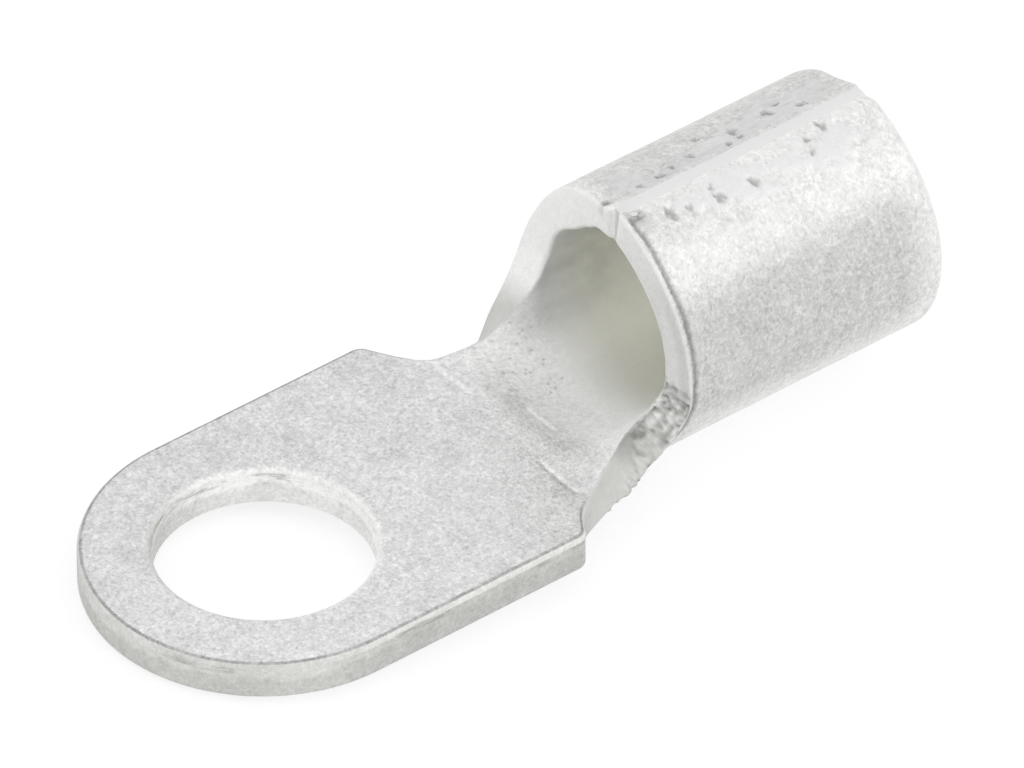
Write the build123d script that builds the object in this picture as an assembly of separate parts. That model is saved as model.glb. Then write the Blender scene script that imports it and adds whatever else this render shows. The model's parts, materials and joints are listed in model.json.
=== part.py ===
from build123d import *
from math import cos, hypot, radians, sin, sqrt, tan
import os

# Ring terminal: a blank of copper sheet, pierced and cut to outline, its rear end rolled into a wire
# barrel whose butt seam is brazed along the top. Millimetres. The origin is the middle of the stud
# hole on the underside of the tongue, +X runs towards the wire and +Z is up.

# Tongue
sheet_thickness = 1.25
tongue_width = 11.0
stud_hole_diameter = 6.6
hole_to_shoulder = 7.7
shoulder_radius = 0.45
largest_shoulder_share = 0.9

# Neck, as measured on the flat blank
neck_width = 7.6
neck_entry_radius = 2.5
wing_corner_radius = 2.1
wing_corner_sweep = 80.0

# Wire barrel: round, but the ends of its two wings stay straighter and rise to a ridge at the seam
wire_bore_diameter = 5.8
wing_end_radius = 6.0
wing_end_angle = 45.0
hole_to_rim = 12.65
barrel_length = 9.6
barrel_drop = 0.95

# Start of the curl across the sheet, and start and length of the step down in the trough's floor
hole_to_curl = 8.7
hole_to_floor_drop = 9.4
floor_drop_length = 2.2

# Butt seam: rounded long edges, rounded corners at its two ends, and the bead of braze that fills it
seam_edge_radius = 0.45
seam_corner_radius = 0.5
seam_notch_depth = 0.3
seam_ridge_radius = 0.8
bead_radius = 0.25
bead_depth = 0.15

# Rolled edges on the punch side of the cut sheet, and the rounded rear end of the barrel
punch_edge_radius = 0.2
rear_edge_radius = 0.3
mouth_edge_radius = 0.35

# Sizes that follow from the ones above
half_sheet = sheet_thickness / 2
half_tongue = tongue_width / 2
half_neck = neck_width / 2
hole_radius = stud_hole_diameter / 2
bore_radius = wire_bore_diameter / 2
barrel_radius = bore_radius + sheet_thickness
roll_radius = bore_radius + half_sheet
axis_height = barrel_radius - barrel_drop
hole_to_rear = hole_to_rim + barrel_length
entry_side = half_neck + neck_entry_radius
entry_rise = max(entry_side - half_tongue, 0)
shoulder_step = max(half_tongue - entry_side, 0)
entry_centre = hole_to_shoulder + sqrt(neck_entry_radius**2 - entry_rise**2)
corner_reach = sin(radians(wing_corner_sweep)) * wing_corner_radius
corner_start = hole_to_rim - corner_reach
wing_centre_offset = wing_end_radius - barrel_radius
wing_centre_drop = wing_centre_offset * cos(radians(wing_end_angle))
wing_centre_side = wing_centre_offset * sin(radians(wing_end_angle))
neck_lead = 0.5
touch = 1e-3


def ease(position, start, end):
    """Share of a bend that is done at a position, level at both ends."""
    share = min(max((position - start) / (end - start), 0), 1)
    return share * share * (3 - 2 * share)


def curl(x):
    """Curvature across the sheet, from none on the tongue to that of the barrel."""
    return ease(x, hole_to_curl, hole_to_rim) / roll_radius


def middle_height(x):
    """Height of the middle of the sheet on the centre line."""
    drop = ease(x, hole_to_floor_drop, hole_to_floor_drop + floor_drop_length)
    return half_sheet + drop * (axis_height - roll_radius - half_sheet)


def arc_rise(radius, run):
    """How far an arc has left its tangent after a run along it."""
    return radius - sqrt(radius**2 - run**2)


def half_width(x):
    """Half width of the flat blank: entry arc, straight neck, then the corner below the wing."""
    entry = arc_rise(neck_entry_radius, max(entry_centre - x, 0))
    corner = arc_rise(wing_corner_radius, max(x - corner_start, 0))
    return half_neck + entry + corner


def neck_section(x):
    """Section of the neck at x: a strip of the sheet, bent to one radius."""
    half = half_width(x)
    middle = middle_height(x)
    if curl(x) == 0:
        return Plane((x, 0, middle), x_dir=(0, 1, 0), z_dir=(1, 0, 0)) * Rectangle(2 * half, sheet_thickness)
    bend = 1 / curl(x)

    def point(radius, side):
        turn = side * half / bend
        return (x, radius * sin(turn), middle + bend - radius * cos(turn))

    inner = bend - half_sheet
    outer = bend + half_sheet
    outline = [
        ThreePointArc(point(outer, -1), point(outer, 0), point(outer, 1)),
        Line(point(outer, 1), point(inner, 1)),
        ThreePointArc(point(inner, 1), point(inner, 0), point(inner, -1)),
        Line(point(inner, -1), point(outer, -1)),
    ]
    return Face(Wire(outline))


def neck_stations(straight_steps=5, corner_steps=8):
    """Stations along the neck: one on the flat tongue, then to the corners below the wings."""
    run = corner_start - hole_to_curl
    straight = [hole_to_curl + run * i / straight_steps for i in range(straight_steps)]
    turns = [radians(wing_corner_sweep) * i / corner_steps for i in range(corner_steps + 1)]
    corner = [corner_start + wing_corner_radius * sin(turn) for turn in turns]
    return [hole_to_curl - neck_lead, *straight, *corner]


def make_tongue():
    """Flat ring end with its two shoulders, up to where the sheet starts to curl."""
    outline = Circle(half_tongue)
    outline += Rectangle(hole_to_curl, tongue_width, align=(Align.MIN, Align.CENTER))
    root_length = hole_to_curl - hole_to_shoulder
    for side in (-1, 1):
        outline -= Pos(entry_centre, side * entry_side) * Circle(neck_entry_radius)
        beside = Rectangle(root_length, half_tongue, align=(Align.MIN, Align.CENTER))
        outline -= Pos(hole_to_shoulder, side * (entry_side + half_tongue / 2)) * beside
    shoulders = [v for v in outline.vertices() if abs(abs(v.Y) - half_tongue) < touch and v.X > touch]
    room = largest_shoulder_share * shoulder_step if shoulder_step > 0 else shoulder_radius
    outline = fillet(shoulders, min(shoulder_radius, room)) - Circle(hole_radius)
    return extrude(outline, sheet_thickness)


def make_neck():
    """Trough between the flat tongue and the round barrel.

    It starts a little way inside the tongue, so that its sides leave the tongue along the same
    arc, and is trimmed where the curl starts.
    """
    trough = loft([neck_section(x) for x in neck_stations()])
    return split(trough, Plane.YZ.offset(hole_to_curl), keep=Keep.TOP)


def barrel_plane(x):
    """Plane across the barrel at x, centred on its axis, with its own X axis up."""
    return Plane((x, 0, axis_height), x_dir=(0, 0, 1), z_dir=(1, 0, 0))


def ridge_height(wing_radius, side=0):
    """Height above the axis of an arc of that radius about a wing's centre, at a side of the seam."""
    return sqrt(wing_radius**2 - (side + wing_centre_side) ** 2) - wing_centre_drop


def barrel_outline(round_radius, wing_radius):
    """Outline across the barrel: round at the bottom and the sides, then the two wing ends."""
    turn = radians(wing_end_angle)
    side = round_radius * sin(turn)
    joint = (round_radius * cos(turn), side)
    ridge = (ridge_height(wing_radius), 0)
    middle = (ridge_height(wing_radius, side / 2), side / 2)
    outline = [
        ThreePointArc(joint, (-round_radius, 0), (joint[0], -side)),
        ThreePointArc((joint[0], -side), (middle[0], -middle[1]), ridge),
        ThreePointArc(ridge, middle, joint),
    ]
    face = make_face(outline)
    return fillet(face.vertices().sort_by(Axis.X)[-1], seam_ridge_radius)


def make_barrel():
    """Rolled sleeve, started from the seam on top."""
    outside = barrel_outline(barrel_radius, wing_end_radius)
    inside = barrel_outline(bore_radius, wing_end_radius - sheet_thickness)
    return extrude(barrel_plane(hole_to_rim) * (outside - inside), barrel_length)


def groove_profile():
    """Rounded V between the two long edges where they meet, each arc tangent to the outside."""
    height = ridge_height(wing_end_radius - seam_edge_radius, seam_edge_radius)
    beyond = (wing_end_radius + seam_edge_radius) / (wing_end_radius - seam_edge_radius)
    top = (height + wing_centre_drop) * beyond - wing_centre_drop
    side = (seam_edge_radius + wing_centre_side) * beyond - wing_centre_side
    corners = [(height, -seam_edge_radius), (top, -side), (top, side), (height, seam_edge_radius)]
    profile = make_face(Polyline(*corners, close=True))
    for side in (-seam_edge_radius, seam_edge_radius):
        profile -= Pos(height, side) * Circle(seam_edge_radius)
    return profile


def make_groove():
    return extrude(barrel_plane(hole_to_rim) * groove_profile(), barrel_length)


def make_notch(end_x, inwards):
    """Gap between the rounded corners of the two wings where the seam runs out at an end."""
    centre_x = end_x + inwards * seam_corner_radius
    middle_x = end_x + inwards * seam_notch_depth / 2
    profile = Pos(middle_x, 0) * Rectangle(seam_notch_depth, 2 * seam_corner_radius)
    for side in (-seam_corner_radius, seam_corner_radius):
        profile -= Pos(centre_x, side) * Circle(seam_corner_radius)
    return extrude(Pos(0, 0, axis_height + bore_radius / 2) * profile, wing_end_radius)


def make_bead():
    """Braze in the bottom of the groove, from notch to notch."""
    seam_height = ridge_height(wing_end_radius - seam_edge_radius, seam_edge_radius) + seam_edge_radius
    centre = Pos(seam_height - bead_depth - bead_radius, 0)
    start = hole_to_rim + seam_notch_depth
    return extrude(barrel_plane(start) * centre * Circle(bead_radius), barrel_length - 2 * seam_notch_depth)


def sheet_depth(point):
    """Distance of a point from the middle of the sheet, positive towards the back of the sheet."""
    middle = middle_height(point.X)
    if curl(point.X) == 0:
        return middle - point.Z
    bend = 1 / curl(point.X)
    above = point.Z - middle - bend
    side = abs(point.Y)
    if point.X > hole_to_rim - touch and above > side / tan(radians(wing_end_angle)):
        return hypot(above + wing_centre_drop, side + wing_centre_side) - wing_end_radius + half_sheet
    return hypot(above, side) - bend


def face_edges(body, depth, start, end):
    """Edges that lie on one face of the sheet, between two places along the terminal."""
    found = []
    for edge in body.edges():
        points = [edge @ share for share in (0, 0.5, 1)]
        on_face = all(abs(sheet_depth(point) - depth) < half_sheet / 2 for point in points)
        if on_face and start - touch < points[1].X < end + touch:
            found.append(edge)
    return found


def punched_edges(body):
    """Edges of the cut outline, hole included, on the punch side: the tongue's top and the bore."""
    found = []
    for edge in face_edges(body, -half_sheet, -hole_to_rim, hole_to_rim):
        xs = [(edge @ share).X for share in (0, 0.5, 1)]
        across = max(xs) - min(xs) < touch
        at_rim = abs(xs[1] - hole_to_rim) < touch and (edge @ 0.5).Z < axis_height
        if not (across and (at_rim or abs(xs[1] - hole_to_curl) < touch)):
            found.append(edge)
    return found


def make_terminal():
    """One piece of sheet: outline, edges, then the brazed seam."""
    body = make_tongue() + make_neck() + make_barrel()
    body = fillet(punched_edges(body), punch_edge_radius)
    body = fillet(face_edges(body, half_sheet, hole_to_rear, hole_to_rear), rear_edge_radius)
    body = fillet(face_edges(body, -half_sheet, hole_to_rear, hole_to_rear), mouth_edge_radius)
    body -= make_groove()
    body -= make_notch(hole_to_rim, 1)
    body -= make_notch(hole_to_rear, -1)
    return body + make_bead()


os.makedirs("parts", exist_ok=True)
export_step(make_terminal(), "parts/ring_terminal.step")
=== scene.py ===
import json
from math import acos, atan2, cos, pi, radians, sin

import bpy
import numpy as np
from bpy.props import FloatProperty, FloatVectorProperty, IntProperty, PointerProperty
from bpy.types import Operator, Panel, PropertyGroup
from mathutils import Matrix, Vector, geometry, kdtree


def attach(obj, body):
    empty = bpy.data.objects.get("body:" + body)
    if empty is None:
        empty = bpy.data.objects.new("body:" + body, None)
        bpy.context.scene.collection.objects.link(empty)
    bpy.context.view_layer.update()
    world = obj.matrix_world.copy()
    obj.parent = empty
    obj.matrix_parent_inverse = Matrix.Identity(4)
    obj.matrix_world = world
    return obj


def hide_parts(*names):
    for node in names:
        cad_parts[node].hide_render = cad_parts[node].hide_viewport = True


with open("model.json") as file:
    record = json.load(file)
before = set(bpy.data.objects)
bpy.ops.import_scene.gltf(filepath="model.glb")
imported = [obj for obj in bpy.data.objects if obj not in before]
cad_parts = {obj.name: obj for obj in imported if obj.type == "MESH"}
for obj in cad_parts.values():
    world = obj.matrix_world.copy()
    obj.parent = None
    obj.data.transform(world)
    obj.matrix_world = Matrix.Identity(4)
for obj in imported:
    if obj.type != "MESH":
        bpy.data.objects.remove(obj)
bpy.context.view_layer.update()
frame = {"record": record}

bl_info = {
    "name": "Ring terminal",
    "version": (1, 0, 0),
    "blender": (4, 5, 0),
    "location": "View3D > Sidebar > Terminal",
    "description": "A tin plated ring terminal: a copper blank, rolled into a brazed wire barrel",
    "category": "Add Mesh",
}

mm = 0.001
mounts = {mount["name"]: mount for mount in frame["record"]["mounts"]}
hole_radius = mounts["stud_hole"]["dims"]["r_mm"]
bore_radius = mounts["wire_barrel"]["dims"]["r_mm"]


# Sizes and colours


def length(name, description, millimetres):
    """A size in metres, given in millimetres."""
    return FloatProperty(
        name=name, description=description, default=millimetres * mm, unit="LENGTH", precision=5
    )


def pair(name, description, left, right):
    """A size for the +Y side and one for the -Y side, given in millimetres."""
    return FloatVectorProperty(
        name=name,
        description=description,
        default=(left * mm, right * mm),
        unit="LENGTH",
        size=2,
        precision=5,
    )


def angle(name, description, in_degrees):
    return FloatProperty(
        name=name, description=description, default=radians(in_degrees), subtype="ANGLE"
    )


def number(name, description, value):
    return FloatProperty(name=name, description=description, default=value)


def colour(name, description, value):
    return FloatVectorProperty(
        name=name, description=description, default=value, subtype="COLOR", size=3, min=0, max=1
    )


class SheetSizes(PropertyGroup):
    thickness: length("Thickness", "Thickness of the copper sheet", 1.25)
    tongue_width: length("Tongue width", "Width of the flat ring end", 11)
    hole_diameter: length("Stud hole", "Diameter of the stud hole", 2 * hole_radius)
    hole_to_shoulder: length("Hole to shoulder", "From the stud hole to the two shoulders", 7.72)
    shoulder_radius: length("Shoulder radius", "Rounding of the two shoulders", 0.45)
    neck_width: length("Neck width", "Width of the blank where it is narrowest", 7.56)
    entry_radius: length("Neck entry radius", "Arc from the shoulders into the neck", 2.5)
    wing_radius: pair("Wing corner radius", "Arc from the neck out to each wing", 2.5, 1.6)
    hole_to_rim: pair("Hole to rim", "From the stud hole to each wing's front edge", 12.73, 12.55)
    rim_rise: pair("Rim rise", "How much further back each front edge is at the seam", 0, 0.2)
    hole_to_seam: length("Hole to seam", "From the stud hole to where the wings meet", 12.98)
    hole_to_rear: length("Hole to rear", "From the stud hole to the rear end", 22.25)
    rear_corner: length("Rear corner radius", "Rounded corners of the wings at the rear", 0.5)
    tongue_roll: length("Tongue edge", "Rolled edge on the punch side of the tongue", 0.18)
    hole_roll: length("Hole edge", "Rolled edge on the punch side of the hole", 0.28)
    neck_roll: length("Neck edge", "Rolled edge on the punch side of the neck", 0.12)
    rim_roll: length("Rim edge", "Rolled edge on the punch side of the wings", 0.15)
    back_roll: length("Back edge", "Small rounding on the other side of the cut sheet", 0.1)
    draft: pair("Draft", "How far the neck's cut leans out from its middle to its back", 0, 0.08)
    waist: pair("Waist", "How much narrower the neck is where it is curled", 0.36, -0.2)
    rear_roll: length("Rear edge", "Rounding of the barrel's rear end, outside", 0.3)
    mouth_roll: length("Mouth edge", "Rounding of the barrel's rear end, inside", 0.35)
    seam_roll: length("Seam edge", "Rounding of the two edges along the seam, outside", 0.3)
    fine_step: length("Fine step", "Distance between points on the surfaces that show", 0.088)
    plain_step: length("Plain step", "Distance between points on the underside", 0.14)
    bore_step: length("Bore step", "Distance between points inside the barrel", 0.22)


class FormSizes(PropertyGroup):
    bore_diameter: length("Wire bore", "Diameter of the bore of the barrel", 2 * bore_radius)
    wing_end_radius: length("Wing end radius", "Outside radius of the wings' straighter ends", 6)
    wing_end_angle: angle("Wing end angle", "Part of each side of the barrel that is straight", 45)
    wing_share: number("Wing share", "How much of the straighter form the wings take on", 0.79)
    curl_start: length("Curl start", "From the stud hole to where the sheet starts to curl", 8.7)
    curl_end: length("Curl end", "From the stud hole to where the curl is complete", 12.65)
    drop_start: length("Drop start", "From the stud hole to where the floor steps down", 9.1)
    drop_length: length("Drop length", "Length of the step down", 2.9)
    barrel_drop: length("Barrel drop", "How far the barrel hangs below the tongue", 0.95)
    seam_shift: length("Seam shift", "How far the rolled blank is off centre", 0.3)
    rim_lean: length("Rim lean", "How far the rim's outer edge lies behind its inner one", 0.01)


class ReliefSizes(PropertyGroup):
    grain: length("Grain", "Height of the fine grain of the plating", 0.008)
    waves: length("Waves", "Height of the slow waves left by rolling", 0.03)
    peel: length("Orange peel", "Depth of the rough skin where the sheet was stretched", 0.03)
    cracks: length("Cracks", "Depth of the fine cracks in the neck", 0.02)
    wrinkles: length("Wrinkles", "Depth of the folds on the cut face under the -Y wing", 0.08)
    crevice: length("Crevice", "Depth of the fold behind the front edge of the -Y wing", 0.06)
    pits: length("Pits", "Depth of the pits beside the seam", 0.08)
    smears: length("Smears", "Height of the braze smeared beside the seam", 0.035)
    burr: length("Burr", "Height of the ragged back edge of the neck", 0.12)
    marks: length("Die marks", "Depth of the three marks of the forming die", 0.05)
    seed: IntProperty(name="Seed", description="Changes every random pattern", default=7)


class BrazeSizes(PropertyGroup):
    bead_radius: length("Bead radius", "Radius of the braze in the seam", 0.6)
    bead_depth: length("Bead depth", "How far the bead lies below the barrel's outside", 0.055)
    end_gap: length("End gap", "Open notch at the two ends of the seam", 0.27)
    ripple: length("Ripple", "Unevenness of the bead", 0.035)


class FinishColours(PropertyGroup):
    tin: colour("Tin", "Plating on the flat faces", (0.73, 0.73, 0.73))
    rolled_tin: colour("Rolled tin", "Plating on the outside of the barrel", (0.82, 0.82, 0.81))
    cut_tin: colour("Cut edge", "Plating in the hole and on the rims", (0.93, 0.93, 0.915))
    darker_cut_tin: colour("Darker cut edge", "Plating round the tongue and neck", (0.65, 0.65, 0.63))
    # Painted light: the inside of the neck and of the barrel is the same tin, painted lighter than
    # outside
    painted_light_trough_tin: colour("Trough", "Plating inside the neck", (0.98, 0.98, 0.98))
    painted_light_bore_tin: colour("Bore", "Plating inside the barrel", (0.965, 0.967, 0.905))
    # Colour of the handling marks and specks, and of the painted shade in the cracks, folds,
    # crevice, dents, pits and streaks
    dark_marks_and_painted_shade: colour("Dark marks and painted shade", "Handling marks and the shade in pits", (0.3, 0.3, 0.28))
    braze: colour("Braze", "Plated braze in the seam and beside it", (0.84, 0.84, 0.84))


class StageSettings(PropertyGroup):
    azimuth: angle("Azimuth", "Direction of the camera round the terminal", -37.76)
    elevation: angle("Elevation", "Height of the camera above the tongue", 39.86)
    roll: angle("Roll", "Tilt of the camera about its line of sight", -0.17)
    target: FloatVectorProperty(
        name="Target",
        description="Point that the camera looks at",
        default=(8.823 * mm, -0.465 * mm, 3.078 * mm),
        subtype="TRANSLATION",
        size=3,
        precision=5,
    )
    distance: length("Distance", "From the camera to its target", 587.9)
    lens: number("Lens", "Focal length in millimetres", 703.1)
    key_strength: number("Key light", "Radiance of the large soft box", 0.5)
    sky_strength: number("Room light", "Strength of the white room", 0.95)


# Nodes


def arithmetic(operation, swapped=False):
    def work(value, other):
        return value.nodes.math(operation, *((other, value) if swapped else (value, other)))

    return work


class Value:
    """One output of a node. Arithmetic on it adds the Math nodes."""

    def __init__(self, nodes, socket):
        self.nodes, self.socket = nodes, socket

    __add__ = __radd__ = arithmetic("ADD")
    __mul__ = __rmul__ = arithmetic("MULTIPLY")
    __sub__, __rsub__ = arithmetic("SUBTRACT"), arithmetic("SUBTRACT", swapped=True)
    __truediv__, __rtruediv__ = arithmetic("DIVIDE"), arithmetic("DIVIDE", swapped=True)

    def __neg__(self):
        return self * -1.0

    def smooth(self, low, high):
        """0 below low, 1 above high, and an even ease between them."""
        return self.nodes.add(
            "ShaderNodeMapRange",
            {"interpolation_type": "SMOOTHSTEP"},
            {"Value": self, "From Min": low, "From Max": high},
        )

    def band(self, low, high, soft):
        """1 between low and high, fading to 0 over a width outside them."""
        return self.smooth(low - soft, low) * (1 - self.smooth(high, high + soft))

    def near(self, middle, reach):
        """1 at the middle, fading to 0 at the reach on both sides."""
        return 1 - self.nodes.math("ABSOLUTE", self - middle).smooth(0.0, reach)


class Nodes:
    """Adds nodes to one tree and links them."""

    def __init__(self, tree):
        self.tree = tree

    def feed(self, socket, value):
        if isinstance(value, Value):
            self.tree.links.new(value.socket, socket)
        else:
            socket.default_value = value

    def add(self, kind, settings=None, values=None, output=0):
        node = self.tree.nodes.new(kind)
        for name, value in (settings or {}).items():
            setattr(node, name, value)
        for name, value in (values or {}).items():
            self.feed(node.inputs[name], value)
        return Value(self, node.outputs[output]) if node.outputs else None

    def math(self, operation, *values):
        return self.add("ShaderNodeMath", {"operation": operation}, dict(enumerate(values)))

    def vector(self, operation, *values, output=0):
        values = dict(enumerate(values))
        return self.add("ShaderNodeVectorMath", {"operation": operation}, values, output)

    def scaled(self, vector, factor):
        settings = {"operation": "SCALE"}
        return self.add("ShaderNodeVectorMath", settings, {0: vector, "Scale": factor})

    def combine(self, x, y, z):
        return self.add("ShaderNodeCombineXYZ", None, {"X": x, "Y": y, "Z": z})

    def split(self, vector):
        node = self.tree.nodes.new("ShaderNodeSeparateXYZ")
        self.feed(node.inputs[0], vector)
        return [Value(self, output) for output in node.outputs]

    def noise(self, place, scale, detail=2.0, roughness=0.5, seed=0.0):
        """Noise between 0 and 1, its middle at 0.5."""
        return self.add(
            "ShaderNodeTexNoise",
            {"noise_dimensions": "4D"},
            {"Vector": place, "W": seed, "Scale": scale, "Detail": detail, "Roughness": roughness},
        )

    def streaks(self, place, turn, stretch, detail, roughness, seed):
        """Noise that is turned in the plane of the sheet and stretched by axis."""
        x, y, z = self.split(place)
        along = (x * cos(turn) + y * sin(turn)) * stretch[0]
        across = (y * cos(turn) - x * sin(turn)) * stretch[1]
        turned = self.combine(along, across, z * stretch[2])
        return self.noise(turned, 1.0, detail, roughness, seed)

    def cells(self, place, scale, seed=0.0):
        """Distance to the nearest of many scattered points."""
        return self.add(
            "ShaderNodeTexVoronoi",
            {"voronoi_dimensions": "4D"},
            {"Vector": place, "W": seed, "Scale": scale},
        )

    def mix(self, share, first, second):
        return self.add(
            "ShaderNodeMix", {"data_type": "RGBA"}, {0: share, 6: first, 7: second}, output=2
        )


class Recipe(Nodes):
    """A geometry tree with named inputs, to be run once on an object."""

    sockets = {float: "Float", int: "Int", bpy.types.Material: "Material"}

    def __init__(self, name, values):
        super().__init__(bpy.data.node_groups.new(name, "GeometryNodeTree"))
        face = self.tree.interface
        for way in ("INPUT", "OUTPUT"):
            face.new_socket(name="Geometry", in_out=way, socket_type="NodeSocketGeometry")
        self.values = {}
        for label, value in values.items():
            kind = "NodeSocket" + self.sockets[type(value)]
            item = face.new_socket(name=label, in_out="INPUT", socket_type=kind)
            self.values[item.identifier] = value
        source = self.tree.nodes.new("NodeGroupInput")
        self.inputs = {output.name: Value(self, output) for output in source.outputs if output.name}

    def attribute(self, name, kind="FLOAT"):
        return self.add("GeometryNodeInputNamedAttribute", {"data_type": kind}, {"Name": name})

    def stored(self, shape, name, value, kind="FLOAT"):
        """The shape with a value kept on its points for the finish to read."""
        return self.add(
            "GeometryNodeStoreNamedAttribute",
            {"data_type": kind, "domain": "POINT"},
            {"Geometry": shape, "Name": name, "Value": value},
        )

    def end(self, shape):
        """Ends the tree in plain mesh with the material on it."""
        shape = self.add("GeometryNodeRealizeInstances", None, {0: shape})
        plated = {"Geometry": shape, "Material": self.inputs["Material"]}
        shape = self.add("GeometryNodeSetMaterial", None, plated)
        self.feed(self.tree.nodes.new("NodeGroupOutput").inputs[0], shape)

    def run(self, piece):
        """Turns the tree's result into the piece's own plain mesh."""
        modifier = piece.modifiers.new(self.tree.name, "NODES")
        modifier.node_group = self.tree
        for identifier, value in self.values.items():
            modifier[identifier] = value
        graph = bpy.context.evaluated_depsgraph_get()
        mesh = bpy.data.meshes.new_from_object(piece.evaluated_get(graph))
        piece.modifiers.remove(modifier)
        piece.data = mesh
        mesh.name = piece.name
        mesh.shade_smooth()
        mesh.update()


def new_object(name, data):
    made = bpy.data.objects.new(name, data)
    bpy.context.scene.collection.objects.link(made)
    return made


# Flat blank

# Columns of an outline's rows, after the place and the direction into the material
punch_column, back_column, sealed_column = 4, 5, 6

# Where the neck's sides take on their draft and waist and lose them again, in millimetres
side_start, draft_end, waist_end = (7.9, 9.4), (11.6, 12.6), (10.0, 11.8)

# Rings down a cut edge: turn in degrees and share of a cut face over the rolled edge, share of the
# way down the cut, then turn and share round the back edge
punch_rings = ((90, 0), (70, 0.2), (50, 0.7), (30, 1), (12, 1), (0, 1))
cut_rings = (0.14, 0.28, 0.42, 0.56, 0.7, 0.85)
back_rings = ((0, 1), (35, 1), (65, 0.5), (90, 0))
first_sealed = len(punch_rings) - 1
last_sealed = len(punch_rings) + len(cut_rings)


class Trail:
    """A path in the plane of the sheet, walked as runs and arcs, clockwise round the material."""

    def __init__(self, x, y, heading):
        self.place, self.heading = (x, y), heading
        self.rows = []

    def walk(self, steps, stride, turn, edge):
        for _ in range(steps):
            self.rows.append((*self.place, sin(self.heading), -cos(self.heading), *edge))
            x, y = self.place
            ahead = self.heading + turn / 2
            self.place = (x + stride * cos(ahead), y + stride * sin(ahead))
            self.heading += turn

    def run(self, distance, edge, step):
        steps = max(1, round(distance / step))
        self.walk(steps, distance / steps, 0, edge)

    def arc(self, radius, turn, edge, step):
        """Turns left by a positive angle."""
        steps = max(2, round(radius * abs(turn) / step))
        self.walk(steps, 2 * radius * sin(abs(turn) / steps / 2), turn / steps, edge)


def half_outline(sheet, roll_radius, side):
    """One side of the blank, from the nose to the middle of the rear end. Side 0 is +Y, 1 is -Y.

    Each row holds the place, the direction into the material, the radii of the two rounded edges
    and whether the edge is closed by the seam.
    """
    step = sheet.fine_step
    close_step = 0.7 * step
    pressed_roll = 0.03 * mm
    tongue = (sheet.tongue_roll, sheet.back_roll, 0)
    neck = (sheet.neck_roll, sheet.back_roll, 0)
    rim = (sheet.rim_roll, sheet.back_roll, 0)
    seam = (pressed_roll, sheet.seam_roll, 1)
    rear = (sheet.mouth_roll, sheet.rear_roll, 0)
    half_tongue, half_neck = sheet.tongue_width / 2, sheet.neck_width / 2
    wing = sheet.wing_radius[side]
    reach = pi * roll_radius
    rise = half_neck + sheet.entry_radius - half_tongue
    both = sheet.entry_radius + sheet.shoulder_radius
    entry_turn = acos((rise + sheet.shoulder_radius) / both)
    entry_centre = sheet.hole_to_shoulder + (sheet.entry_radius**2 - rise**2) ** 0.5
    sweep = pi / 2 - atan2(sheet.rim_rise[side], reach - half_neck - wing)
    trail = Trail(-half_tongue, 0, pi / 2)
    trail.arc(half_tongue, -pi / 2, tongue, step)
    trail.run(entry_centre - both * sin(entry_turn), tongue, step)
    trail.arc(sheet.shoulder_radius, -entry_turn, tongue, close_step)
    trail.arc(sheet.entry_radius, entry_turn, neck, step)
    trail.run(sheet.hole_to_rim[side] - wing * sin(sweep) - entry_centre, neck, step)
    trail.arc(wing, sweep, rim, step)
    x, t = trail.place
    corner_to_seam = np.array([[cos(sweep), sin(sweep)], [sin(sweep), 1 - cos(sweep)]])
    straight, corner = np.linalg.solve(corner_to_seam, (sheet.hole_to_seam - x, reach - t))
    trail.run(straight, rim, step)
    trail.arc(corner, -sweep, rim, close_step)
    trail.run(sheet.hole_to_rear - sheet.rear_corner - sheet.hole_to_seam, seam, step)
    seam_end = len(trail.rows)
    trail.arc(sheet.rear_corner, -pi / 2, rear, close_step)
    trail.run(reach - sheet.rear_corner, rear, step)
    rows = np.array(trail.rows)
    rows[seam_end, sealed_column] = 1
    return rows


def soften(values, reach):
    """Averages values along a closed path."""
    width = 2 * reach + 1
    padded = np.concatenate([values[-reach:], values, values[:reach]])
    return np.convolve(padded, np.ones(width) / width, mode="valid")


def ease(values, start, end):
    """0 before start, 1 after end and an even ease between them."""
    share = np.clip((values - start) / (end - start), 0, 1)
    return share * share * (3 - 2 * share)


def blank_outline(sheet, roll_radius):
    """The whole outline, with the material on its left, and the draft and waist at each point."""
    left, right = (half_outline(sheet, roll_radius, side) for side in (0, 1))
    right = right * np.array([1, -1, 1, -1, 1, 1, 1])
    last = left[-1].copy()
    last[:4] = (sheet.hole_to_rear, 0, -1, 0)
    outline = np.concatenate([right, [last], left[:0:-1]])
    for column in (punch_column, back_column):
        outline[:, column] = soften(outline[:, column], 3)
    x = outline[:, 0] / mm
    left_side, started = outline[:, 1] > 0, ease(x, *side_start)
    draft = np.where(left_side, *sheet.draft) * (1 - ease(x, *draft_end)) * started
    waist = np.where(left_side, *sheet.waist) * (1 - ease(x, *waist_end)) * started
    return np.column_stack([outline, draft, waist])


def hole_outline(sheet):
    radius = sheet.hole_diameter / 2
    count = round(2 * pi * radius / sheet.fine_step)
    turns = -2 * pi * np.arange(count) / count
    rows = np.zeros((count, 9))
    rows[:, 0], rows[:, 1] = radius * np.cos(turns), radius * np.sin(turns)
    rows[:, 2], rows[:, 3] = np.cos(turns), np.sin(turns)
    rows[:, punch_column], rows[:, back_column] = sheet.hole_roll, sheet.back_roll
    return rows


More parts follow.
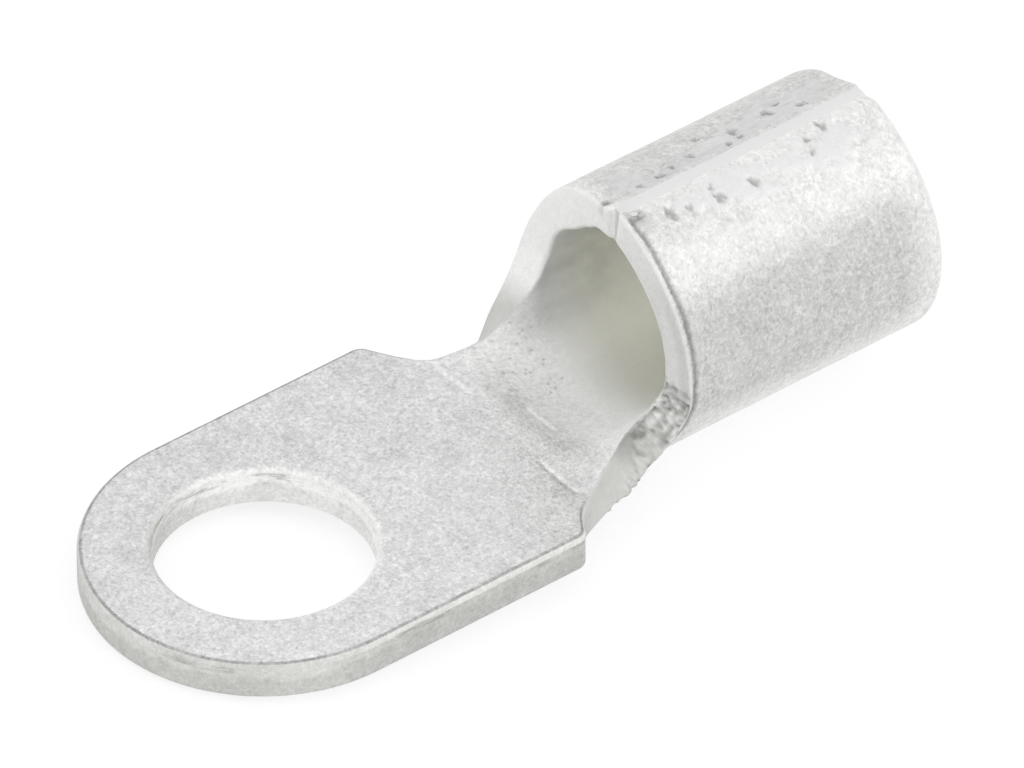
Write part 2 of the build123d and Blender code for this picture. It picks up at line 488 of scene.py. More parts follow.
def edge_rings(outline, thickness):
    """Rings of points from the punch side over the rolled edge, down the cut and round the back.

    Each row holds a point, its direction of relief, its share of a cut face, its distance from the
    cut and whether the seam closes it.
    """
    half = thickness / 2
    place, inwards = outline[:, :2], outline[:, 2:4]
    top, back, seal, draft, waist = outline[:, 4:].T[:, :, None]
    rings = []

    def ring(distance, height, turn, up, share):
        shift = distance + waist + draft * height / half
        upwards, cut = np.full_like(height, up * sin(turn)), np.full_like(height, share)
        on_cut = first_sealed <= len(rings) <= last_sealed
        relief = [-inwards * cos(turn), upwards]
        rings.append(
            np.hstack([place + inwards * shift, height, *relief, cut, distance, seal * on_cut])
        )

    for degrees, share in punch_rings:
        turn = radians(degrees)
        ring(top * (1 - cos(turn)), half - top * (1 - sin(turn)), turn, 1, share)
    high, low = half - top, back - half
    for share in cut_rings:
        ring(top * 0, high + (low - high) * share, 0, 0, 1)
    for degrees, share in back_rings:
        turn = radians(degrees)
        ring(back * (1 - cos(turn)), -half + back * (1 - sin(turn)), turn, -1, share)
    return rings


def inside(points, loop):
    """Which points lie inside a closed loop."""
    found = np.zeros(len(points), bool)
    x, y = points[:, 0], points[:, 1]
    for (x0, y0), (x1, y1) in zip(loop, np.roll(loop, -1, axis=0)):
        if y0 != y1:
            crosses = ((y0 > y) != (y1 > y)) & (x < (x1 - x0) * (y - y0) / (y1 - y0) + x0)
            found ^= crosses
    return found


def scattered(start, end, wide, step):
    """Points of an even triangular pattern between two places along the blank."""
    row_share = 0.866
    points = []
    for i, y in enumerate(np.arange(-wide, wide, step * row_share)):
        xs = np.arange(start + (i % 2) * step / 2, end, step)
        points.append(np.stack([xs, np.full_like(xs, y)], axis=1))
    return np.concatenate(points)


def clear_of(points, loops, gaps):
    """Points that keep their gap from the points of the loops."""
    rim = np.concatenate(loops)
    tree = kdtree.KDTree(len(rim))
    for i, (x, y) in enumerate(rim):
        tree.insert((x, y, 0), i)
    tree.balance()
    away = np.array([tree.find((x, y, 0))[2] for x, y in points])
    return points[away > gaps], away[away > gaps]


def face_points(loop, hole, wide, regions):
    """Points over one face of the blank, closer together in some regions than in others."""
    chosen, distances = [], []
    clear_share = 0.6
    for start, end, step in regions:
        points = scattered(start, end, wide, step)
        points = points[inside(points, loop) & (np.hypot(*points.T) > np.hypot(*hole[0]))]
        kept, away = clear_of(points, [loop, hole], step * clear_share)
        chosen.append(kept)
        distances.append(away)
    return np.concatenate(chosen), np.concatenate(distances)


def face_triangles(loop, hole, points):
    """Triangles over one face, between its outline, the hole and the points inside.

    The points are rounded as Vector rounds them, or slivers outside the outline would be kept.
    """
    flat = (np.concatenate([loop, hole, points]) / mm).astype(np.float32).astype(float)
    a, b = len(loop), len(hole)
    borders = [(i, (i + 1) % a) for i in range(a)] + [(a + i, a + (i + 1) % b) for i in range(b)]
    only_inside, tolerance = 1, 1e-7
    result = geometry.delaunay_2d_cdt(
        [Vector(p) for p in flat], borders, [], only_inside, tolerance, True
    )
    first = np.array([ids[0] for ids in result[3]])
    triangles = first[np.array(result[2])]
    middle = flat[triangles].mean(axis=1)
    return triangles[inside(middle, flat[:a]) & (np.hypot(*middle.T) > np.hypot(*flat[a]))]


def face_regions(sheet):
    """Stretches of the punch side (1) and the back (-1) of the blank, each with its step."""
    nose, rear = -0.55 * sheet.tongue_width, sheet.hole_to_rear
    bore, barrel = sheet.hole_to_seam + 0.3 * mm, sheet.hole_to_seam - 2 * mm
    return {
        1: ((nose, bore, sheet.fine_step), (bore, rear, sheet.bore_step)),
        -1: ((nose, barrel, sheet.plain_step), (barrel, rear, sheet.fine_step)),
    }


def blank_mesh(sheet, roll_radius):
    """The flat blank, its middle plane at height 0, with the attributes that the recipe reads."""
    outlines = [blank_outline(sheet, roll_radius), hole_outline(sheet)]
    half, wide = sheet.thickness / 2, 1.01 * pi * roll_radius
    rows, faces, starts, count = [], [], [], 0
    for outline in outlines:
        rings = edge_rings(outline, sheet.thickness)
        here = np.arange(len(outline))
        following = np.roll(here, -1)
        seal = outline[:, sealed_column]
        closed = (seal == 1) & (seal[following] == 1)
        starts.append((count, count + (len(rings) - 1) * len(here)))
        for k in range(1, len(rings)):
            open_edge = ~(closed & (first_sealed < k <= last_sealed))
            i, j = here[open_edge], following[open_edge]
            below = count + k * len(here)
            above = below - len(here)
            faces.append(np.stack([above + i, below + i, below + j], axis=1))
            faces.append(np.stack([above + i, below + j, above + j], axis=1))
        rows += rings
        count += len(rings) * len(here)
    edges = np.concatenate(rows)[:, :2]
    for side, end in ((1, 0), (-1, 1)):
        firsts = [start[end] for start in starts]
        loops = [edges[first : first + len(outline)] for outline, first in zip(outlines, firsts)]
        points, away = face_points(*loops, wide, face_regions(sheet)[side])
        sizes = [len(loops[0]), len(loops[1]), len(points)]
        index = np.concatenate([np.arange(n) + s for n, s in zip(sizes, [*firsts, count])])
        faces.append(index[face_triangles(*loops, points)][:, ::side])
        flat = np.zeros((len(points), rows[0].shape[1]))
        flat[:, :2], flat[:, 2], flat[:, 5] = points, side * half, side
        flat[:, 7] = away + sheet.rim_roll
        rows.append(flat)
        count += len(points)
    used, faces = np.unique(np.concatenate(faces), return_inverse=True)
    rows = np.concatenate(rows)[used]
    mesh = bpy.data.meshes.new("blank")
    mesh.from_pydata(rows[:, :3].tolist(), [], faces.reshape(-1, 3).tolist())
    direction = mesh.attributes.new("relief_direction", "FLOAT_VECTOR", "POINT")
    direction.data.foreach_set("vector", rows[:, 3:6].ravel())
    for column, name in ((6, "cut_face"), (7, "edge_distance"), (8, "sealed")):
        layer = mesh.attributes.new(name, "FLOAT", "POINT")
        layer.data.foreach_set("value", rows[:, column])
    return mesh


# Forming and relief

# All in millimetres on the blank. Die marks: along, across, half length and curve
die_marks = ((8.9, 2.75, 0.95, 0.05), (8.62, -2.95, 0.8, 0.04), (10.0, -0.4, 0.6, 0.05))

# Pits beside the seam: along the barrel, across from the seam (+Y is positive) and radius
pits = (
    (15.7, -0.5, 0.13), (15.85, -0.9, 0.2), (14.8, -0.75, 0.13), (14.2, -0.7, 0.22),
    (17.1, -0.95, 0.14), (20.15, -0.45, 0.17), (19.4, -0.55, 0.13), (19.35, -0.95, 0.15),
    (15.5, 0.62, 0.15), (16.2, 0.75, 0.12), (17.9, 0.85, 0.2), (17.9, 0.45, 0.13),
    (17.4, 0.4, 0.12), (19.3, 1.0, 0.16), (20.3, 0.55, 0.17), (14.9, 0.5, 0.14),
    (14.25, 0.45, 0.12), (19.8, 1.15, 0.13), (16.9, 1.25, 0.12),
)

# Dent in a wing's corner, and a lip that is longer than wide: place, inner and outer radius
corner_dent, front_lip = ((13.2, -0.5), 0.1, 0.55), ((7.75, 0.55), 0.03, 0.16)

# Where along the blank the relief and the finish change over: start and end
neck_start, neck_end, barrel_start = (8.6, 9.8), (12.0, 13.5), (12.6, 13.4)
tongue_end, trough_start, rolled_start = (7.8, 9.0), (8.4, 11.2), (12.4, 13.4)

# Stretches along the blank: start, end and width of the fade beyond them
crevice_run, braze_run, burr_run = (12.0, 13.3, 0.3), (13.6, 21.2, 0.5), (9.6, 12.0, 0.4)

# Areas: a stretch along the blank and one across it
crack_area = (9.5, 11.9, 0.5), (1.1, 3.7, 0.7)
wrinkle_area = (11.5, 12.5, 0.35), (-5.4, -3.4, 0.5)
belly_area = (13.5, 20.5, 1.5), (-7.6, -5.2, 1.5)

# Height through the sheet, over which its outside turns into its inside
outside_end = (-0.3, 0.0)

# Swells of the +Y wing: degrees from the seam, reach in degrees, height at the front and the rear
swells = ((9, 9, -0.12, -0.06), (18, 14, 0, -0.13), (30, 20, 0.15, 0), (66, 26, -0.13, -0.05))

# Where that wing is thinner or thicker on its inside at the front: degrees, reach and height
inner_swells = ((11, 11, 0.22), (34, 16, -0.16), (62, 22, 0.16))

# Stretch over which the swells change to their rear height, and one over which the inner ones end
swell_rear, inner_swell_end = (13.2 * mm, 21 * mm), (13.2 * mm, 15.5 * mm)


def spot(nodes, x, t, centre, inner, outer):
    """1 inside a round spot, fading to 0 at its outer radius."""
    from_centre = nodes.vector("DISTANCE", nodes.combine(x, t, 0.0), (*centre, 0.0), output=1)
    return 1 - from_centre.smooth(inner, outer)


def area(x, t, along, across):
    """1 in an area of the blank, fading to 0 round it."""
    return x.band(*along) * t.band(*across)


def strongest(nodes, values):
    found = values[0]
    for value in values[1:]:
        found = nodes.math("MAXIMUM", found, value)
    return found


def relief_parts(nodes, given, place):
    """Height of the surface over the smooth sheet, and the masks that the finish reads: braze
    smears, painted shade in its hollows and a painted highlight along the die marks.

    The place is in millimetres on the blank. Apart from the braze and the burr, all goes inwards.
    """
    x, t, w = nodes.split(place)
    seed, cut = given["Seed"], nodes.attribute("cut_face")
    from_edge = nodes.attribute("edge_distance") * (1 / mm)
    seam = given["Roll radius"] * (pi / mm) - nodes.math("ABSOLUTE", t)
    across = seam * nodes.math("SIGN", t)
    minus_side = 1 - t.smooth(-0.1, 0.1)
    outside = 1 - w.smooth(*outside_end)
    face = 1 - cut
    barrel = x.smooth(*barrel_start) * outside
    neck = x.smooth(*neck_start) * (1 - x.smooth(*neck_end))
    trough = neck * (1 - outside) * face

    coarse = nodes.noise(place, 2.6, 2.0, 0.6, seed + 2)
    waves = (nodes.noise(place, 0.32, 1.0, 0.4, seed) - 0.75) * barrel * given["Waves"]
    grain = (nodes.noise(place, 5.0, 3.0, 0.6, seed + 1) - 0.65) * given["Grain"]
    skin = (coarse - 0.65) * given["Orange peel"] * (neck * 0.8 + barrel * 0.45 + 0.12)

    crack_zone = area(x, t, *crack_area) * trough + trough * 0.2
    crack = nodes.streaks(place, 0.5, (2.4, 3.6, 1), 3.0, 0.7, seed + 6)
    crack = crack.near(0.5, 0.022) * crack_zone * coarse.smooth(0.45, 0.6)
    folds = []
    for stretch, width in (((2.2, 1.5, 2.2), 0.07), ((5.0, 3.6, 5.0), 0.06)):
        crumple = nodes.streaks(place, 0.4, stretch, 2.0, 0.6, seed + 7)
        folds.append(crumple.near(0.5, width))
    fold = (folds[0] + folds[1] * 0.6) * (area(x, t, *wrinkle_area) * cut)
    wander = (nodes.noise(place, 1.5, 3.0, 0.65, seed + 8) - 0.5) * 0.42
    crevice = (from_edge + wander).near(0.27, 0.15) * minus_side * outside * face
    crevice = crevice * x.band(*crevice_run)
    dent = spot(nodes, x, across, *corner_dent) * outside * face
    lip = spot(nodes, x * 0.6, across, *front_lip) * outside

    beside = barrel * seam.smooth(0.22, 0.4) * x.band(*braze_run)
    patch = nodes.streaks(place, 0, (0.6, 1.25, 1), 2.5, 0.6, seed + 3)
    reach = 1 - seam.smooth(0.7, 1.9)
    smear = (patch + reach * 0.12).smooth(0.55, 0.585) * beside * (1 - seam.smooth(1.5, 2.0))
    warp = (nodes.noise(place, 4.6, 2.0, 0.6, seed + 11) - 0.5) * 0.55
    holes = [
        spot(nodes, x + warp, across - warp, centre, 0.5 * radius, radius)
        for *centre, radius in pits
    ]
    small = 1 - nodes.cells(place, 1.7, seed + 4).smooth(0.05, 0.2)
    small = small * coarse.smooth(0.5, 0.6) * (1 - seam.smooth(1.6, 2.6)) * x.band(*braze_run)
    pit = strongest(nodes, [*holes, small * 0.7]) * barrel * seam.smooth(0.15, 0.3)
    streak = nodes.streaks(place, 0.05, (0.7, 7.0, 1), 2.0, 0.6, seed + 9)
    streak = streak.near(0.47, 0.06) * barrel * (1 - minus_side) * seam.band(0.5, 2.2, 0.5)

    marks = []
    for start, middle, half_length, curve in die_marks:
        bow = x - start - (t - middle) * (t - middle) * curve
        ends = t.band(middle - half_length, middle + half_length, 0.2)
        marks.append(bow.near(0.0, 0.14) * ends * (1 - outside) * face)
    # Die marks: a groove in the relief and a painted highlight along it in the finish
    mark = strongest(nodes, marks)

    inwards = (
        waves + grain + skin
        - crack * given["Cracks"]
        - fold * given["Wrinkles"]
        - crevice * given["Crevice"]
        - (dent + streak * 0.06) * given["Die marks"]
        - mark * given["Die marks"]
        - (pit + lip) * given["Pits"]
    )
    ragged = nodes.noise(place, 3.0, 3.0, 0.7, seed + 10).smooth(0.42, 0.66)
    burr = ragged * cut * outside * minus_side * x.band(*burr_run) * given["Burr"]
    height = nodes.math("MINIMUM", inwards, 0.0) + smear * given["Smears"] + burr
    # Painted shade in the cracks, folds, crevice, dents, pits, streaks and the lip, for the finish
    shade = strongest(
        nodes, [crack * 0.3, fold * 0.65, crevice * 0.9, dent * 0.25, pit * 0.6, streak * 0.15, lip]
    )
    return height, {"smear": smear, "shade": shade, "die_mark_highlight": mark}


def wing_rise(nodes, given, from_seam, left, x, inner):
    """How far the sheet lies outside the round barrel, by its angle from the seam."""
    angle, offset = given["Wing end angle"], given["Wing offset"]
    turn = nodes.math("MAXIMUM", angle - from_seam, 0.0)
    side = nodes.math("SINE", turn) * offset
    radius = given["Roll radius"] + offset
    rise = nodes.math("SQRT", radius * radius - side * side) - nodes.math("COSINE", turn) * offset
    rise = (rise - given["Roll radius"]) * given["Wing share"]
    rear = x.smooth(*swell_rear)
    for middle, reach, at_front, at_rear in swells:
        swell = from_seam.near(radians(middle), radians(reach)) * left
        rise = rise + swell * (at_front * mm + rear * ((at_rear - at_front) * mm))
    inner = inner * left * (1 - x.smooth(*inner_swell_end))
    for middle, reach, height in inner_swells:
        swell = from_seam.near(radians(middle), radians(reach)) * inner
        rise = rise + swell * (height * mm)
    return rise


def labelled(group, *names):
    """Properties of a group by their labels, as inputs of a recipe."""
    return {group.bl_rna.properties[name].name: getattr(group, name) for name in names}


def forming_recipe(sheet, form, relief, material):
    """Relief on the blank, then the curl, the step down and the closed seam."""
    barrel_radius = form.bore_diameter / 2 + sheet.thickness
    curl = ("curl_start", "curl_end", "drop_start", "drop_length", "barrel_drop")
    wings = ("wing_end_angle", "wing_share", "seam_shift", "rim_lean")
    nodes = Recipe(
        "Form the sheet",
        {
            "Roll radius": barrel_radius - sheet.thickness / 2,
            "Wing offset": form.wing_end_radius - barrel_radius,
            "Half thickness": sheet.thickness / 2,
            **labelled(form, *curl, *wings),
            **labelled(relief, *relief.__annotations__),
            "Material": material,
        },
    )
    least_bend, weld_distance = 0.01, 0.002 * mm
    given = nodes.inputs
    flat = nodes.add("GeometryNodeInputPosition")
    place = nodes.scaled(flat, 1 / mm)
    height, masks = relief_parts(nodes, given, place)
    t, roll = nodes.split(flat)[1], given["Roll radius"]
    from_seam = roll * pi - nodes.math("ABSOLUTE", t)
    open_edge = from_seam.smooth(0.0, 0.12 * mm)
    direction = nodes.attribute("relief_direction", "FLOAT_VECTOR")
    push = nodes.scaled(direction, height * open_edge)
    px, pt, pw = nodes.split(nodes.vector("ADD", flat, push))

    share = px.smooth(given["Curl start"], given["Curl end"])
    bend = nodes.math("MAXIMUM", share / roll, least_bend)
    turn = (pt + given["Seam shift"] * share) * bend
    left = t.smooth(-0.1 * mm, 0.1 * mm)
    inner = pw.smooth(-given["Half thickness"], given["Half thickness"])
    depth = pw - wing_rise(nodes, given, from_seam / roll, left, px, inner) * share
    fallen = px.smooth(given["Drop start"], given["Drop start"] + given["Drop length"])
    half_turn = nodes.math("SINE", turn * 0.5)
    lean = given["Rim lean"] * (pw / given["Half thickness"])
    lean = lean * px.band(given["Curl end"], given["Curl end"], 2 * mm)
    formed = nodes.combine(
        px - lean,
        nodes.math("SINE", turn) * (1 / bend - depth),
        given["Half thickness"]
        - fallen * given["Barrel drop"]
        + half_turn * half_turn * 2 / bend
        + depth * nodes.math("COSINE", turn),
    )
    shape = nodes.stored(given["Geometry"], "sheet_place", place, "FLOAT_VECTOR")
    for name, mask in masks.items():
        shape = nodes.stored(shape, name, mask)
    shape = nodes.add("GeometryNodeSetPosition", None, {"Geometry": shape, "Position": formed})
    shape = nodes.add(
        "GeometryNodeMergeByDistance",
        None,
        {"Geometry": shape, "Selection": nodes.attribute("sealed"), "Distance": weld_distance},
    )
    nodes.end(shape)
    return nodes


def braze_recipe(sheet, form, braze, seed, material):
    """A run of braze along the seam, nearly flush with the wings, its surface a little uneven."""
    barrel_radius = form.bore_diameter / 2 + sheet.thickness
    roll_radius = barrel_radius - sheet.thickness / 2
    offset = form.wing_end_radius - barrel_radius
    radius, side = roll_radius + offset, offset * sin(form.wing_end_angle)
    rise = (radius**2 - side**2) ** 0.5 - offset * cos(form.wing_end_angle) - roll_radius
    lean = form.seam_shift / roll_radius
    centre = barrel_radius + rise * form.wing_share - braze.bead_depth - braze.bead_radius
    axis = barrel_radius - form.barrel_drop
    nodes = Recipe(
        "Braze the seam",
        {
            "Start": min(sheet.hole_to_rim) + braze.end_gap,
            "End": sheet.hole_to_rear - braze.end_gap,
            "Across": -sin(lean) * centre,
            "Height": axis + cos(lean) * centre,
            "Radius": braze.bead_radius,
            "Ripple": braze.ripple,
            "Seed": seed,
            "Material": material,
        },
    )
    given = nodes.inputs
    start = nodes.combine(given["Start"], given["Across"], given["Height"])
    end = nodes.combine(given["End"], given["Across"], given["Height"])
    line = nodes.add("GeometryNodeCurvePrimitiveLine", None, {"Start": start, "End": end})
    points_along, points_round = 160, 72
    line = nodes.add("GeometryNodeResampleCurve", None, {"Curve": line, "Count": points_along})
    circle = {"Resolution": points_round, "Radius": given["Radius"]}
    ring = nodes.add("GeometryNodeCurvePrimitiveCircle", None, circle)
    shape = nodes.add(
        "GeometryNodeCurveToMesh", None, {"Curve": line, "Profile Curve": ring, "Fill Caps": True}
    )
    place = nodes.scaled(nodes.add("GeometryNodeInputPosition"), 1 / mm)
    uneven = nodes.streaks(place, 0, (0.7, 1.6, 1.6), 2.0, 0.5, given["Seed"]) - 0.6
    push = nodes.scaled(nodes.add("GeometryNodeInputNormal"), uneven * given["Ripple"])
    shape = nodes.stored(shape, "sheet_place", place, "FLOAT_VECTOR")
    shape = nodes.stored(shape, "smear", 1.0)
    shape = nodes.add("GeometryNodeSetPosition", None, {"Geometry": shape, "Offset": push})
    nodes.end(shape)
    return nodes


# Finishes

# Millimetres from the stud hole's middle between the cut of the hole and the outer cut, and height
# and fade of the painted highlight just below the top of the outer cut
hole_to_outer_cut, painted_highlight_band = (4.2, 4.6), (0.43, 0.55, 0.04)


def hairs(nodes, place, scale, width, seed):
    """Thin curved lines that run in every direction and break off."""
    line = nodes.noise(place, scale, 1.0, 0.5, seed).near(0.5, width)
    return line * nodes.noise(place, scale * 1.7, 1.0, 0.5, seed + 1).smooth(0.5, 0.56)


def empty_nodes(owner):
    """An empty node tree for a material or a world."""
    owner.use_nodes = True
    owner.node_tree.nodes.clear()
    return Nodes(owner.node_tree)


def tin_material(name, finish):
    """Matt tin plate: mottled grain, short strokes, scratches and its own tone on the cut edges,
    with painted shade, painted highlights and the inside painted lighter.
    """
    material = bpy.data.materials.new(name)
    nodes = empty_nodes(material)
    place = nodes.add("ShaderNodeAttribute", {"attribute_name": "sheet_place"}, output=1)
    cut, smear, shade, die_mark_highlight = (
        nodes.add("ShaderNodeAttribute", {"attribute_name": layer}, output=2)
        for layer in ("cut_face", "smear", "shade", "die_mark_highlight")
    )
    x, t, w = nodes.split(place)
    outside = 1 - w.smooth(*outside_end)
    inner = (1 - outside) * (1 - cut)
    bore = x.smooth(*trough_start) * inner
    barrel = x.smooth(*rolled_start) * outside
    tongue = 1 - x.smooth(*tongue_end)
    rim = nodes.vector("LENGTH", nodes.combine(x, t, 0.0), output=1).smooth(*hole_to_outer_cut)
    right_cut = cut * rim * tongue * x.smooth(-2.5, 1.5)

    # Grain and strokes
    mottle = nodes.noise(place, 9.0, 3.0, 0.65, 1.3)
    clouds = nodes.noise(place, 0.9, 3.0, 0.55, 2.3)
    pale = strongest(nodes, [hairs(nodes, place, scale, 0.075, scale) for scale in (2.6, 3.7, 5.1)])
    dark = strongest(nodes, [hairs(nodes, place, scale, 0.06, scale) for scale in (2.7, 3.8)])
    scratch = hairs(nodes, nodes.scaled(place, 0.35), 1.0, 0.006, 9.0)
    sparkle = (1 - nodes.cells(place, 3.6, 7.3).smooth(0.08, 0.26)) * barrel
    calm = (1 - bore * 0.6) * (1 - smear * 0.75) * (1 - cut * (0.75 - tongue * 0.35))
    calm = calm * (1 - barrel * 0.25) * (1 - x.smooth(11.0, 13.0) * inner * 0.8)
    level = (mottle - 0.5) * 0.8 + (clouds - 0.5) * 0.36 + pale * 0.15 - dark * 0.13 + scratch * 0.1

    # How light each area is, with painted shade and painted highlights
    burnish = ((w + (clouds - 0.5) * 0.8).smooth(0.0, 0.2) * 0.15 - 0.08) * cut * tongue
    # Painted shade: a thin mottled dark line on the rolled top edge of the tongue's outer cut
    line = cut.band(0.15, 0.6, 0.15) * rim * tongue * (clouds * 0.8 - 0.02)
    level = 0.97 + (level + sparkle * 0.16) * calm + burnish * (1 - right_cut * 0.5) - line
    # Painted highlight along the die marks, and painted light that leaves the tongue a little
    # lighter towards its -Y side
    level = level + die_mark_highlight * 0.2 - t * tongue * 0.008
    # The tongue's outer cut along its sides darker, with a painted highlight in a band just below
    # its top
    level = level - right_cut * (0.14 - w.band(*painted_highlight_band) * 0.3)
    left_wing = x.smooth(12.8, 13.6) * t.band(6.2, 11.2, 1.5) * outside
    left_wall_shade = x.smooth(10.6, 12.4) * t.smooth(1.6, 4.6) * inner
    belly = area(x, t, *belly_area) * outside
    # Mottled darkening: painted shade on the +Y wall inside the neck and barrel; the +Y wing and a
    # band along the -Y side of the barrel darker too
    level = level - clouds * (belly * 0.46 + left_wing * 0.28 + left_wall_shade * 0.45)

    # Colour, from the tongue to the inside of the neck and the bore, painted lighter as painted
    # light, then the cut edges, the braze, and the dark marks with the painted shade
    tone = nodes.mix(barrel, (*finish.tin, 1), (*finish.rolled_tin, 1))
    tone = nodes.mix(bore, tone, (*finish.painted_light_trough_tin, 1))
    tone = nodes.mix(x.smooth(12.0, 15.0) * inner, tone, (*finish.painted_light_bore_tin, 1))
    # The outer cut round the tongue and neck is darker than the cut in the hole and on the rims
    darker_cut_share = strongest(nodes, [1 - x.smooth(-3.5, 1.5), rim * (1 - x.smooth(11.6, 12.4))])
    edge = nodes.mix(darker_cut_share, (*finish.cut_tin, 1), (*finish.darker_cut_tin, 1))
    tone = nodes.mix(cut, tone, edge)
    tone = nodes.mix(smear, tone, (*finish.braze, 1))
    gate = nodes.noise(place, 0.45, 2.0, 0.5, 5.9).smooth(0.47, 0.55)
    scrape = nodes.streaks(place, 0.3, (0.9, 0.9, 8), 4.0, 0.7, 5.2)
    scrape = scrape.smooth(0.47, 0.64) * w.band(0.3, 0.42, 0.12) * cut * gate
    scrape = scrape * (1 - x.smooth(7.0, 8.0))
    speck = (1 - nodes.cells(place, 1.9, 6.1).smooth(0.03, 0.12)) * (1 - bore)
    # Dark handling marks and specks, with the painted shade from the relief's hollows
    marks = strongest(nodes, [scrape * 0.6, speck * 0.35, shade])
    tone = nodes.scaled(nodes.mix(marks, tone, (*finish.dark_marks_and_painted_shade, 1)), level)

    # Gloss
    rough = 0.46 + (mottle - 0.5) * 0.3 + cut * 0.05 - sparkle * 0.12
    rough = rough + bore * (0.4 - x.smooth(12.0, 14.0) * 0.25)
    height = (mottle + pale * 0.3 - dark * 0.3 - scratch * 0.25) * calm
    relief = {"Strength": 0.7, "Distance": 0.02 * mm, "Height": height}
    bump = nodes.add("ShaderNodeBump", None, relief)
    surface = nodes.add(
        "ShaderNodeBsdfPrincipled",
        None,
        {"Base Color": tone, "Metallic": 1.0, "Roughness": rough, "Normal": bump},
    )
    nodes.add("ShaderNodeOutputMaterial", None, {"Surface": surface})
    return material


def floor_material():
    """White paper that keeps a soft shadow."""
    material = bpy.data.materials.new("white_paper")
    nodes = empty_nodes(material)
    paper = nodes.add("ShaderNodeBsdfDiffuse", None, {"Color": (0.5, 0.5, 0.5, 1)})
    glow = nodes.add("ShaderNodeEmission", None, {"Color": (1, 1, 1, 1), "Strength": 0.66})
    both = nodes.add("ShaderNodeAddShader", None, {0: paper, 1: glow})
    plain = nodes.add("ShaderNodeBsdfDiffuse", None, {"Color": (0.8, 0.8, 0.8, 1)})
    surface = nodes.add("ShaderNodeMixShader", None, {0: seen_rays(nodes), 1: plain, 2: both})
    nodes.add("ShaderNodeOutputMaterial", None, {"Surface": surface})
    return material


def seen_rays(nodes):
    """1 for what the camera sees, straight, in a reflection or through glass."""
    outputs = nodes.tree.nodes.new("ShaderNodeLightPath").outputs
    rays = ("Is Camera Ray", "Is Glossy Ray", "Is Transmission Ray")
    return strongest(nodes, [Value(nodes, outputs[name]) for name in rays])


# Stage


def add_key_box(stage):
    """A square soft box that faces the terminal."""
    away, size, distance = Vector((0.46, -0.62, 0.59)).normalized(), 0.3, 0.6
    lamp = bpy.data.lights.new("key_box", "AREA")
    lamp.shape, lamp.size = "SQUARE", size
    lamp.energy = stage.key_strength * pi * size * size
    box = new_object("key_box", lamp)
    box.location = Vector(stage.target) + away * distance
    box.rotation_euler = away.to_track_quat("Z", "Y").to_euler()


def place_camera(stage):
    azimuth, elevation = stage.azimuth, stage.elevation
    back = Vector((sin(azimuth) * cos(elevation), -cos(azimuth) * cos(elevation), sin(elevation)))
    right = Vector((cos(azimuth), sin(azimuth), 0))
    up = back.cross(right)
    turned = Matrix.Rotation(stage.roll, 3, back)
    axes = Matrix((turned @ right, turned @ up, back)).transposed().to_4x4()
    axes.translation = Vector(stage.target) + back * stage.distance
    data = bpy.data.cameras.new("camera")
    data.lens = stage.lens
    data.clip_start, data.clip_end = 0.01, 10
    camera = new_object("camera", data)
    camera.matrix_world = axes
    bpy.context.scene.camera = camera


# Operators


class TERMINAL_OT_form_sheet(Operator):
    """Cut the blank, form it and plate it"""

    bl_idname = "terminal.form_sheet"
    bl_label = "Form the sheet"

    def execute(self, context):
        scene = context.scene
        sheet, form = scene.terminal_sheet, scene.terminal_form
        roll_radius = (form.bore_diameter + sheet.thickness) / 2
        piece = new_object("formed_sheet", blank_mesh(sheet, roll_radius))
        material = tin_material("tin_plate", scene.terminal_finish)
        forming_recipe(sheet, form, scene.terminal_relief, material).run(piece)
        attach(piece, "root")
        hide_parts("ring_terminal")
        return {"FINISHED"}


class TERMINAL_OT_braze_seam(Operator):
    """Fill the seam with braze"""

    bl_idname = "terminal.braze_seam"
    bl_label = "Braze the seam"

    def execute(self, context):
        scene = context.scene
        sheet, form, braze = scene.terminal_sheet, scene.terminal_form, scene.terminal_braze
        material = tin_material("tin_on_braze", scene.terminal_finish)
        piece = new_object("seam_braze", bpy.data.meshes.new("seam_braze"))
        braze_recipe(sheet, form, braze, scene.terminal_relief.seed, material).run(piece)
        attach(piece, "root")
        return {"FINISHED"}


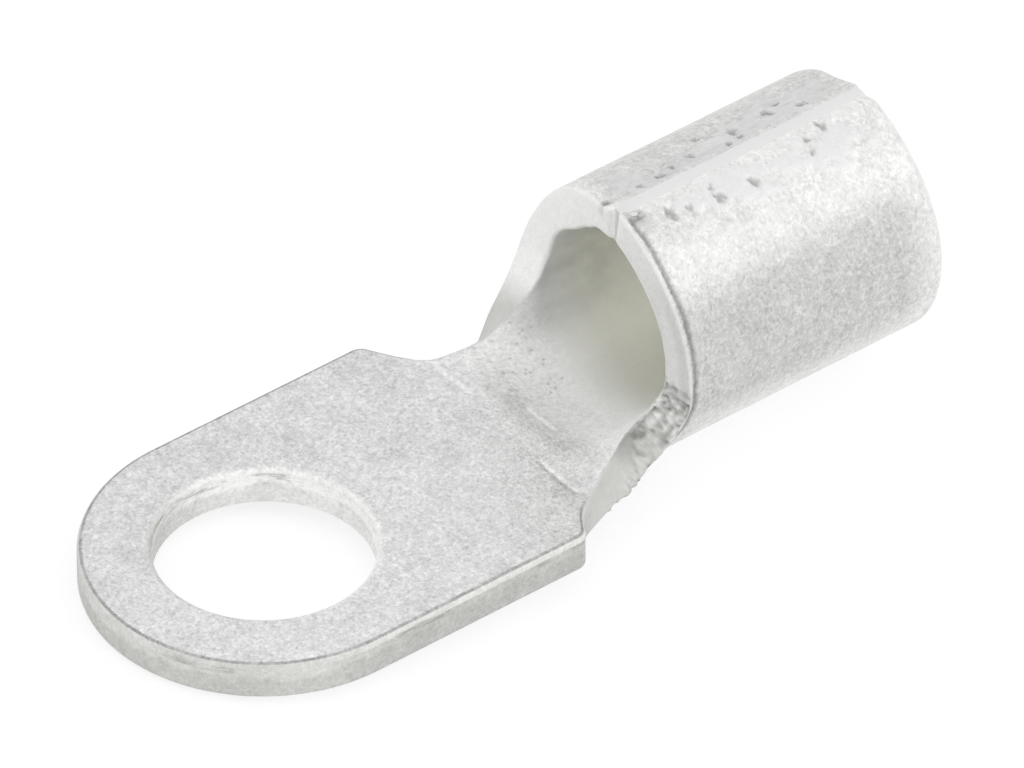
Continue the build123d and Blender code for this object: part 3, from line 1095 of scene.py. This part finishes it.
class TERMINAL_OT_set_stage(Operator):
    """Add the floor, the room, the soft box and the camera"""

    bl_idname = "terminal.set_stage"
    bl_label = "Set the stage"

    def execute(self, context):
        scene = context.scene
        stage, sheet, form = scene.terminal_stage, scene.terminal_sheet, scene.terminal_form
        nose = -sheet.tongue_width / 2
        slope = form.barrel_drop / (form.curl_end - nose)
        reach, gap = 0.4, 0.06 * mm
        sides = ((-reach, -reach), (reach, -reach), (reach, reach), (-reach, reach))
        corners = [(x, y, -slope * (x - nose) - gap) for x, y in sides]
        mesh = bpy.data.meshes.new("floor")
        mesh.from_pydata(corners, [], [(0, 1, 2, 3)])
        mesh.materials.append(floor_material())
        new_object("floor", mesh)

        world = bpy.data.worlds.new("white_room")
        nodes = empty_nodes(world)
        pale = {"Color": (0.8, 0.8, 0.8, 1), "Strength": stage.sky_strength}
        room = nodes.add("ShaderNodeBackground", None, pale)
        white = nodes.add("ShaderNodeBackground", None, {"Color": (1, 1, 1, 1), "Strength": 1.0})
        surface = nodes.add("ShaderNodeMixShader", None, {0: seen_rays(nodes), 1: room, 2: white})
        nodes.add("ShaderNodeOutputWorld", None, {"Surface": surface})
        scene.world = world
        scene.view_settings.view_transform = "Standard"

        add_key_box(stage)
        place_camera(stage)
        return {"FINISHED"}


class TERMINAL_PT_panel(Panel):
    """Lists the steps that make the terminal"""

    bl_label = "Ring terminal"
    bl_idname = "TERMINAL_PT_panel"
    bl_space_type = "VIEW_3D"
    bl_region_type = "UI"
    bl_category = "Terminal"

    def draw(self, context):
        for step in steps:
            self.layout.operator(step.bl_idname)
        for group in groups:
            values = getattr(context.scene, group)
            box = self.layout.box()
            for name in values.__annotations__:
                box.prop(values, name)


groups = {
    "terminal_sheet": SheetSizes,
    "terminal_form": FormSizes,
    "terminal_relief": ReliefSizes,
    "terminal_braze": BrazeSizes,
    "terminal_finish": FinishColours,
    "terminal_stage": StageSettings,
}
steps = (TERMINAL_OT_form_sheet, TERMINAL_OT_braze_seam, TERMINAL_OT_set_stage)


def register():
    for kind in (*groups.values(), *steps, TERMINAL_PT_panel):
        bpy.utils.register_class(kind)
    for name, kind in groups.items():
        setattr(bpy.types.Scene, name, PointerProperty(type=kind))


def unregister():
    for name in groups:
        delattr(bpy.types.Scene, name)
    for kind in (TERMINAL_PT_panel, *steps, *groups.values()):
        bpy.utils.unregister_class(kind)


def main():
    register()
    bpy.ops.terminal.form_sheet()
    bpy.ops.terminal.braze_seam()
    bpy.ops.terminal.set_stage()


if __name__ == "__main__":
    main()
